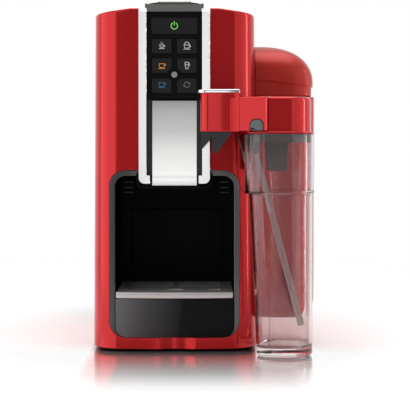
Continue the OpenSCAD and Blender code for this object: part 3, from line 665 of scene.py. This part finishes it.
DOME_X = 74.0
DOME_WIDE = 55.0
DOME_Y = 71.5
DOME_DEEP = 40.4
DOME_BASE = 232.4
DOME_SPRING = 244.0
DOME_TOP = 280.5
DOME_POWER = 2 / 2.3
DOME_WALL = 3.0
CREASE_Z = 234.0
CREASE_RISE = 7.0


def crease_lift(x, z):
    """The crease over the dome's lip climbs towards the body."""
    grow = min(max((z - CREASE_Z) / 6.0, 0.0), 1.0)
    fade = 1 - min(max((z - DOME_SPRING) / (DOME_TOP - DOME_SPRING), 0.0), 1.0)
    return CREASE_RISE * (1 - (x - DOME_X) / DOME_WIDE) * grow * fade


def dome_ring(share, z, wall=0.0, n=72):
    points = []
    for i in range(n + 1):
        a = math.pi * (i / n - 0.5)
        c = abs(math.cos(a)) ** 0.4
        s = math.copysign(abs(math.sin(a)) ** 0.4, a)
        x = DOME_X + wall + (DOME_WIDE - 2 * wall) * share * c
        y = DOME_Y + (DOME_DEEP - wall) * share * s
        points.append((x, y, z if wall else z + crease_lift(x, z)))
    return points


def dome_skin(low_rings, z0, top, wall=0.0):
    skin = list(low_rings)
    for i in range(30):
        turn = math.pi / 2 * (i / 30) ** 1.15
        rise = (top - z0) * math.sin(turn) ** DOME_POWER
        skin.append(dome_ring(math.cos(turn) ** DOME_POWER, z0 + rise, wall))
    skin.append(dome_ring(0.02, top, wall))
    return skin


lip = [dome_ring(0.955, DOME_BASE + 0.1), dome_ring(0.969, 232.9), dome_ring(0.975, CREASE_Z)]
lip += [dome_ring(0.975, 240.4), dome_ring(0.984, 241.0), dome_ring(0.998, 241.7)]
lip.append(dome_ring(1.0, 242.4))
dome = loft("dock_dome", dome_skin(lip, DOME_SPRING, DOME_TOP))
room_foot = [dome_ring(0.99, 228.0, DOME_WALL)]
room = loft("cutter", dome_skin(room_foot, DOME_SPRING, DOME_TOP - DOME_WALL, DOME_WALL))
cut(dome, room)
hinge_relief = [(103.6, 225), (113, 225), (113, 251.6), (103.6, 251.6)]
for x0, x1 in [(70, 87.9), (95.1, 107.9), (115.1, 130)]:
    cut(dome, slab("cutter", [hinge_relief], side_place(x0), x1 - x0, front=0))
below_knuckle = [(98, 225), (113, 225), (113, 247), (98, 247)]
for x0 in (87, 107):
    cut(dome, slab("cutter", [below_knuckle], side_place(x0), 9, front=0))
present(dome, "dock_flap", "red_gloss", dome_red, "dock_cover")
knuckle = arc(HINGE[0], HINGE[1], 3.2, 180, 360, 18) + [(111.4, 258), (106, 264)]
knuckles = joined(
    "dome_knuckles",
    slab_parts([knuckle], side_place(88.1), 6.8, front=0.3, back=0.3),
    slab_parts([knuckle], side_place(108.1), 6.8, front=0.3, back=0.3),
)
present(knuckles, "dock_flap", "red_gloss", dome_red)

# ---------------------------------------------------------------- milk carafe

JAR = [(80, -20, 17.2), (99, -11, 26), (99, 11, 18), (107, 11, 18)]
JAR_LOW = [(82.2, -20, 17.2)] + JAR[1:]
JAR_FOOT = [(88.4, -19, 16.2)] + JAR[1:]
JAR_STEP = 146.0
JAR_RIM = 197.4
JAR_IN = 1.4
JAR_WALL = 2.2
LID_FOOT = 198.0
LID_IN = 2.8


def hull_ring(circles, inset, z, n=168):
    """The outline round the circles, one point for each direction it faces."""
    points = []
    for i in range(n):
        a = 2 * math.pi * i / n
        cx, cy = math.cos(a), math.sin(a)
        best = max(circles, key=lambda c: c[0] * cx + c[1] * cy + c[2])
        r = best[2] - inset
        points.append((best[0] + r * cx, best[1] + r * cy, z))
    return points


def quarter(r, n=5):
    """Steps in and up round a quarter circle."""
    turns = [math.pi / 2 * i / n for i in range(n + 1)]
    return [(r * (1 - math.cos(t)), r * math.sin(t)) for t in turns]


def jar_low(z):
    """The jar's plan below its step: its left end leans in towards the foot."""
    share = min(max(z / JAR_STEP, 0.0), 1.0)
    low, foot = JAR_LOW[0], JAR_FOOT[0]
    return [tuple(f + (t - f) * share for f, t in zip(foot, low))] + JAR[1:]


def jar_high(*steps):
    """Rings of the jar above its step, one for each (inset, z)."""
    return [hull_ring(JAR, inset, z) for inset, z in steps]


jar_rings = []
for dx, dz in reversed(quarter(2.6)):
    jar_rings.append(hull_ring(jar_low(0), JAR_IN + dx, 3.2 - dz))
jar_rings += [hull_ring(jar_low(z), JAR_IN, z) for z in (10, 40, 90, 143.2)]
jar_rings.append(hull_ring(jar_low(JAR_STEP), 1.1, 144.6))
jar_rings += jar_high((0.5, 145.1), (0.1, 145.6), (0, JAR_STEP + 0.4), (0, 170))
jar_rings += jar_high((0, JAR_RIM - 0.8), (0.3, JAR_RIM - 0.2), (1.1, JAR_RIM))
# Over the rim and down the inside.
wall_in = JAR_IN + JAR_WALL
jar_rings += jar_high((1.9, JAR_RIM - 0.2), (JAR_WALL, JAR_RIM - 0.8), (JAR_WALL, 170))
jar_rings += jar_high((JAR_WALL, JAR_STEP + 2), (2.5, 147))
jar_rings.append(hull_ring(jar_low(JAR_STEP), 3.0, 146.2))
jar_rings.append(hull_ring(jar_low(JAR_STEP), wall_in, 144.8))
jar_rings += [hull_ring(jar_low(z), wall_in, z) for z in (90, 40)]
for dx, dz in quarter(3.0):
    jar_rings.append(hull_ring(jar_low(9), wall_in + dx, 11.6 - dz))
jar = loft("jar_body", jar_rings)
present(jar, "jar", "jar_clear", glassy, "carafe_jar")


def panel(a, b, c, thick):
    """A thin three-cornered sheet."""
    a, b, c = Vector(a), Vector(b), Vector(c)
    push = (b - a).cross(c - a).normalized() * thick
    verts = [tuple(v) for v in (a, b, c, a + push, b + push, c + push)]
    return verts, [[0, 2, 1], [3, 4, 5], [0, 1, 4, 3], [1, 2, 5, 4], [2, 0, 3, 5]]


BEAK_TIP = (57.4, -15, 197.2)
BEAK_WALL = 1.3
beak = joined(
    "jar_beak",
    panel(BEAK_TIP, (70.4, -32.4, 197.2), (67.4, -22, 157), -BEAK_WALL),
    panel(BEAK_TIP, (74.4, -1.8, 197.2), (67.8, -12, 157), BEAK_WALL),
)
present(beak, "jar", "jar_clear", glassy)

# The flange at the lid's foot, then its sides.
LID_STEPS = [(0.4, 0), (0, 0.3), (0, 1.1), (0.3, 1.4), (LID_IN - 0.4, 1.5), (LID_IN, 1.9)]
lid_rings = [hull_ring(JAR, inset, LID_FOOT + up) for inset, up in LID_STEPS]
lid_rings += [hull_ring(JAR, LID_IN, z) for z in (210, 227)]
for dx, dz in quarter(3.4, 7)[1:]:
    lid_rings.append(hull_ring(JAR, LID_IN + dx, 227.1 + dz))
lid = loft("lid_shell", lid_rings)
well = [arc(HUB[0], HUB[1], HUB_R + 0.5, 0, 360, 95)[:-1]]
port = [arc(104, 214, 2, 0, 360, 23)[:-1]]
cut(
    lid,
    slab("cutter", well, top_place(260), 60, front=0),
    slab("cutter", port, front_place(20), 20, front=0),
)
PIN_R = 3.0
PIN_TOP = 225.0
pin = [arc(HUB[0], HUB[1], PIN_R, 0, 360, 31)[:-1]]
lid_pin = slab("lid_pin", pin, top_place(PIN_TOP), 26.5, front=0.6)
present(lid, "lid", "red_gloss", red, "carafe_lid")
present(lid_pin, "lid", "red_gloss", red)

# ---------------------------------------------------------------- milk arm

NOSE_R = 7.5
arm_main = [(50, -7), (50, -26.35), (80, -37)] + arc(HUB[0], HUB[1], HUB_R, -45, 116, 40)
arm_nose = [(57.7, -7)] + arc(30.9, -14.5, NOSE_R, 90, 180, 10)
arm_nose += arc(30.9, -18.5, NOSE_R, 180, 270, 10) + [(49, -26), (57.7, -29.1)]
arm = joined(
    "arm_shell",
    slab_parts([arm_main], top_place(LID_TOP), LID_TOP - ARM_FOOT, front=2.2, back=0.8, n=6),
    slab_parts([arm_nose], top_place(234), 34.4, front=0.5, back=1.0, n=5),
)
lean = Vector((31, -11)).normalized()


def on_lean(u, v, d):
    """u along the leaning face, v up, d into it."""
    return (49 + lean.x * u - lean.y * d, -26 + lean.y * u + lean.x * d, v)


def leaning(back):
    """A place on the leaning face that starts this far in."""
    return lambda u, v, d: on_lean(u, v, d + back)


pocket = [round_loop(18.9, 198, 31.7, 210.8, [0.1, 0.1, 5.2, 5.2], 8)]
cut(arm, slab("cutter", pocket, leaning(-5), 10.4, front=0))
pin_hole = [arc(HUB[0], HUB[1], PIN_R + 0.05, 0, 360, 31)[:-1]]
cut(arm, slab("cutter", pin_hole, top_place(PIN_TOP + 0.2), 30, front=0))
present(arm, "arm", "red_gloss", red, "milk_arm", sharp=30)

lining_loop = [round_loop(18.95, 198.6, 31.65, 210.75, [0.1, 0.1, 5.1, 5.1], 8)]
lining = slab("tab_lining", lining_loop, leaning(4.8), 0.5, front=0)
present(lining, "arm", "base_black", black)

tab_loop = [round_loop(19.3, 200.4, 31.3, 210.2, [0.3, 0.3, 4.9, 4.9], 8)]
tab = slab("tab_button", tab_loop, leaning(-0.5), 3.6, front=1.0, back=0.2)
present(tab, "tab", "skirt_grey", tab_grey, "release_tab")

cap_loop = [(58.2, -7.8)] + arc(28.2, -15.3, NOSE_R, 90, 180, 10)
cap_loop += arc(28.2, -17.7, NOSE_R, 180, 270, 10) + [(58.2, -25.2)]
cap = slab("arm_cap", [cap_loop], top_place(237.3), 3.25, front=1.5, back=0.2, n=6)
present(cap, "arm", "cap_chrome", chrome, "arm_chrome_cap")

# ---------------------------------------------------------------- key panel


def mark(name, body, net, cx, cz, *shapes):
    """Printed mark on a key. Each shape is a list of loops."""
    place = lambda u, v, d: (cx + u, -0.33 + d, cz + v)
    piece = joined(name, *[slab_parts(s, place, 0.13, front=0) for s in shapes])
    present(piece, body, "key_black", net)


def ring_shape(r, w, a0, a1, cx=0.0, cz=0.0, n=24):
    outer = arc(cx, cz, r + w / 2, a0, a1, n)
    inner = arc(cx, cz, r - w / 2, a1, a0, n)
    return [outer + inner]


def bar(x0, z0, x1, z1):
    return [[(x0, z0), (x1, z0), (x1, z1), (x0, z1)]]


LINE = 0.42


def outline(loop):
    """A drawn line that follows a closed loop."""
    return [loop, [tuple(p) for p in inset_loop(loop, LINE)][::-1]]


def cup(w, h, floor):
    """Side view of a cup with its handle and saucer, drawn in lines."""
    body = [(-w / 2 + 1.2, floor), (w / 2 - 1.2, floor), (w / 2 - 0.35, floor + 0.9), (w / 2, h),
            (-w / 2, h), (-w / 2 + 0.35, floor + 0.9)]
    handle = ring_shape(0.85, 0.36, -80, 80, cx=w / 2 - 0.1, cz=h - 1.3, n=12)
    return [outline(body), handle, bar(-w / 2 - 0.4, floor - 0.95, w / 2 + 0.4, floor - 0.55)]


POWER_Z = 294.8
ROWS = (276.5, 259.1, 241.0)
COLUMN = 11.25
mark("power_mark", "power_key_cap", ink_green, 0, POWER_Z,
     ring_shape(2.9, 0.75, 118, 422, n=40), bar(-0.36, 0.3, 0.36, 4.0))
mark("espresso_mark", "espresso_key_cap", ink_white, -COLUMN, ROWS[0], *cup(4.2, 1.4, -1.3),
     bar(-0.8, 2.2, -0.5, 3.5), bar(0.5, 2.2, 0.8, 3.5))
mark("coffee_mark", "coffee_key_cap", ink_orange, -COLUMN, ROWS[1], *cup(5.4, 1.9, -1.9))
mark("water_mark", "water_key_cap", ink_blue, -COLUMN, ROWS[2] + 1, *cup(5.4, 1.9, -1.9))
mark("cappuccino_mark", "cappuccino_key_cap", ink_white, COLUMN, ROWS[0], *cup(5.4, 1.4, -1.9),
     ring_shape(2.2, LINE, 0, 180, cz=1.5, n=14))
glass = [(-1.3, -3.0), (1.3, -3.0), (1.9, 3.2), (-1.9, 3.2)]
mark("latte_mark", "latte_key_cap", ink_white, COLUMN, ROWS[1], outline(glass),
     ring_shape(1.0, 0.36, -80, 80, cx=1.7, cz=0.8, n=12), bar(-1.3, 0.6, 1.3, 1.0))
mark("rinse_mark", "rinse_key_cap", ink_grey, COLUMN, ROWS[2] + 1, ring_shape(2.4, 0.5, 20, 160),
     ring_shape(2.4, 0.5, 200, 340), [[(2.9, 1.9), (2.9, -0.1), (1.1, 0.8)]],
     [[(-2.9, -1.9), (-2.9, 0.1), (-1.1, -0.8)]])

# ---------------------------------------------------------------- CAD nodes shown as they are

dress(red, "red_gloss", "left_cover", "right_cover", "top_cover", "dock_housing")
dress(black, "base_black", "base_plate", "rear_cover", "guide_strips", "brew_frame")
dress(rubber, "rubber_foot", "feet")
dress(bay_black, "bay_black", "cavity_liner", "drip_tray", "capsule_bin")
dress(piano, "panel_black", "control_fascia")
dress(tray_black, "panel_black", "tray_front")
dress(key_face, "key_black", "power_key", "espresso_key", "cappuccino_key", "coffee_key",
      "latte_key", "water_key", "rinse_key")
dress(lens, "lens_clear", "status_lens")
dress(board, "circuit_green", "key_board", "power_board")
dress(inlet, "inlet_black", "power_inlet")
dress(nylon, "injector_grey", "injector_block", "capsule_cage")
dress(alloy, "heater_alloy", "thermoblock")
dress(pump_skin, "pump_blue", "pump")
dress(meter, "meter_white", "flow_meter")
dress(hose, "hose_clear", "suction_hose")
dress(steel, "pipe_steel", "steam_pipe", "dock_hinge_pin", "steam_nozzle", "lever_pin", "screws")
dress(bright, "bright_frame", "center_frame")
dress(plate, "brushed_silver", "outlet_plate")
dress(lever_grey, "lever_grey", "lever_arm")
dress(grip, "grip_dark", "lever_grip", "milk_spout", "outlet_carriage", "outlet_nozzle",
      "tank_lid")
dress(maroon, "inlay_maroon", "lever_inlay")
dress(float_red, "float_red", "tray_float")
dress(smoke, "tank_smoke", "water_tank")
dress(valve, "valve_white", "tank_valve")
dress(skirt, "skirt_grey", "lid_skirt", "frother_block")
dress(tubing, "tube_clear", "suction_tube")

# ---------------------------------------------------------------- floor, light and camera

floor_net = Net("floor_white")
floor_tone = floor_net.mix(floor_net.noise(3.0), (0.90, 0.90, 0.90, 1), (0.93, 0.93, 0.93, 1))
floor_net.set("Roughness", floor_net.span(floor_net.noise(60.0), 0.5, 0.6))
floor_net.set("Specular IOR Level", 0.05)
floor_net.set("Emission Color", (1, 1, 1, 1))
gloss = floor_net.nodes.new("ShaderNodeBsdfGlossy")
gloss.inputs["Roughness"].default_value = 0.14
FLOOR_GLOSS = (0.96, 0.96, 0.96, 1)
# Painted reflection: the floor's gloss is tinted red within the body's width.
FLOOR_GLOSS_PAINTED_RED = (0.96, 0.66, 0.65, 1)
GLOSS_AHEAD = 0.215
BODY_DEEP = 0.325
aside = floor_net.calc("ABSOLUTE", floor_net.calc("SUBTRACT", floor_net.axis("X"), MIDDLE_X), 0.0)
along_y = floor_net.axis("Y")
under_low = (BASE_HALF - 4) * MM
under_high = (BASE_HALF + 3) * MM
under = floor_net.span(aside, 1.0, 0.0, from_low=under_low, from_high=under_high)
floor_net.put(gloss.inputs["Color"], floor_net.mix(under, FLOOR_GLOSS, FLOOR_GLOSS_PAINTED_RED))
ahead = floor_net.span(along_y, 0.0, 1.0, from_low=FACE_Y - GLOSS_AHEAD, from_high=FACE_Y)
nearness = floor_net.ramp(ahead, [
    (0.0, (0.0, 0.0, 0.0)),
    (0.25, (0.2, 0.2, 0.2)),
    (0.5, (0.56, 0.56, 0.56)),
    (0.75, (0.79, 0.79, 0.79)),
    (1.0, (0.94, 0.94, 0.94)),
])
polished = floor_net.nodes.new("ShaderNodeMixShader")
ahead_only = floor_net.span(along_y, 1.0, 0.0, from_low=FACE_Y, from_high=FACE_Y + 0.05)
beside = floor_net.span(aside, 1.0, 0.0, from_low=0.13, from_high=0.20)
# Painted shadow: under the body the floor is darkened and loses its glow.
front_low = FACE_Y - 0.001
front_high = FACE_Y + 0.012
back_low = FACE_Y + BODY_DEEP
from_front = floor_net.span(along_y, 0.0, 1.0, from_low=front_low, from_high=front_high)
to_back = floor_net.span(along_y, 1.0, 0.0, from_low=back_low, from_high=back_low + 0.01)
painted_shadow_under_body = floor_net.calc("MULTIPLY", floor_net.calc("MULTIPLY", from_front, to_back), under)
floor_net.set("Emission Strength", floor_net.span(painted_shadow_under_body, 0.16, 0.0))
floor_net.set("Base Color", floor_net.mix(painted_shadow_under_body, floor_tone, (0.03, 0.02, 0.02, 1)))
shine = floor_net.calc("MULTIPLY", floor_net.calc("MULTIPLY", nearness, ahead_only), beside)
floor_net.links.new(shine, polished.inputs[0])
floor_net.links.new(floor_net.shader.outputs[0], polished.inputs[1])
floor_net.links.new(gloss.outputs[0], polished.inputs[2])
spread = floor_net.nodes.new("ShaderNodeVectorMath")
spread.operation = "LENGTH"
floor_net.links.new(floor_net.where, spread.inputs[0])
fade = floor_net.span(spread.outputs["Value"], 1.0, 0.0, from_low=0.35, from_high=0.85)
see_through = floor_net.nodes.new("ShaderNodeBsdfTransparent")
blend_floor = floor_net.nodes.new("ShaderNodeMixShader")
floor_net.links.new(fade, blend_floor.inputs[0])
floor_net.links.new(see_through.outputs[0], blend_floor.inputs[1])
floor_net.links.new(polished.outputs[0], blend_floor.inputs[2])
floor_out = floor_net.nodes["Material Output"]
floor_net.links.new(blend_floor.outputs[0], floor_out.inputs["Surface"])
FLOOR_R = 1.2
FLOOR_Z = -0.0002
bpy.ops.mesh.primitive_circle_add(vertices=96, radius=FLOOR_R, fill_type="NGON",
                                  location=(0, 0, FLOOR_Z))
floor = bpy.context.object
floor.name = "floor"
floor.data.materials.append(floor_net.mat)

world = bpy.data.worlds.new("studio")
bpy.context.scene.world = world
world.use_nodes = True
wn = world.node_tree.nodes
wl = world.node_tree.links
sky = wn["Background"]
way = wn.new("ShaderNodeTexCoord")
parts = wn.new("ShaderNodeSeparateXYZ")
wl.new(way.outputs["Generated"], parts.inputs["Vector"])
depth = wn.new("ShaderNodeMapRange")
wl.new(parts.outputs["Y"], depth.inputs["Value"])
depth.inputs["From Min"].default_value = -0.6
depth.inputs["From Max"].default_value = 0.5
depth.inputs["To Min"].default_value = 0.16
depth.inputs["To Max"].default_value = 1.0
rays = wn.new("ShaderNodeLightPath")
seen = wn.new("ShaderNodeMath")
seen.operation = "MAXIMUM"
wl.new(rays.outputs["Is Camera Ray"], seen.inputs[0])
wl.new(rays.outputs["Is Transmission Ray"], seen.inputs[1])
tone = wn.new("ShaderNodeMix")
wl.new(seen.outputs[0], tone.inputs["Factor"])
wl.new(depth.outputs["Result"], tone.inputs["A"])
tone.inputs["B"].default_value = 1.0
wl.new(tone.outputs["Result"], sky.inputs["Strength"])
sky.inputs["Color"].default_value = (1, 1, 1, 1)


def softbox(name, at, aim, width, height, power):
    data = bpy.data.lights.new(name, "AREA")
    data.shape = "RECTANGLE"
    data.size = width
    data.size_y = height
    data.energy = power
    obj = bpy.data.objects.new(name, data)
    obj.location = at
    obj.rotation_euler = (Vector(aim) - Vector(at)).to_track_quat("-Z", "Y").to_euler()
    obj.visible_camera = False
    bpy.context.scene.collection.objects.link(obj)


LEFT_AIM = (-0.05, -0.05, 0.2)
RIGHT_AIM = (0.05, -0.05, 0.2)
softbox("left_box", at=(-0.95, -0.62, 0.35), aim=LEFT_AIM, width=1.55, height=1.5, power=9.0)
softbox("right_box", at=(0.98, -0.60, 0.35), aim=RIGHT_AIM, width=1.5, height=1.5, power=4.6)
softbox("top_box", at=(0.0, -0.1, 1.3), aim=(0, -0.02, 0.1), width=1.0, height=1.0, power=7.0)
softbox("right_strip", at=(1.2, -0.17, 0.3), aim=RIGHT_AIM, width=0.05, height=1.2, power=2.3)
softbox("card", at=(-0.055, -1.45, 0.27), aim=(-0.025, -0.15, 0.23),
        width=0.2, height=0.5, power=0.31)

CAMERA_RIGHT = 0.0276
CAMERA_Y = -1.3488
CAMERA_Z = 0.1947
CAMERA_DOWN = 1.5
cam_data = bpy.data.cameras.new("camera")
cam_data.sensor_width = 36.0
cam_data.lens = 117.0
cam_data.shift_y = -0.08
cam_data.dof.use_dof = False
cam = bpy.data.objects.new("camera", cam_data)
cam.location = (MIDDLE_X + CAMERA_RIGHT, CAMERA_Y, CAMERA_Z)
cam.rotation_euler = (math.radians(90.0 - CAMERA_DOWN), 0, 0)
bpy.context.scene.collection.objects.link(cam)
bpy.context.scene.camera = cam
bpy.context.scene.view_settings.view_transform = "Standard"
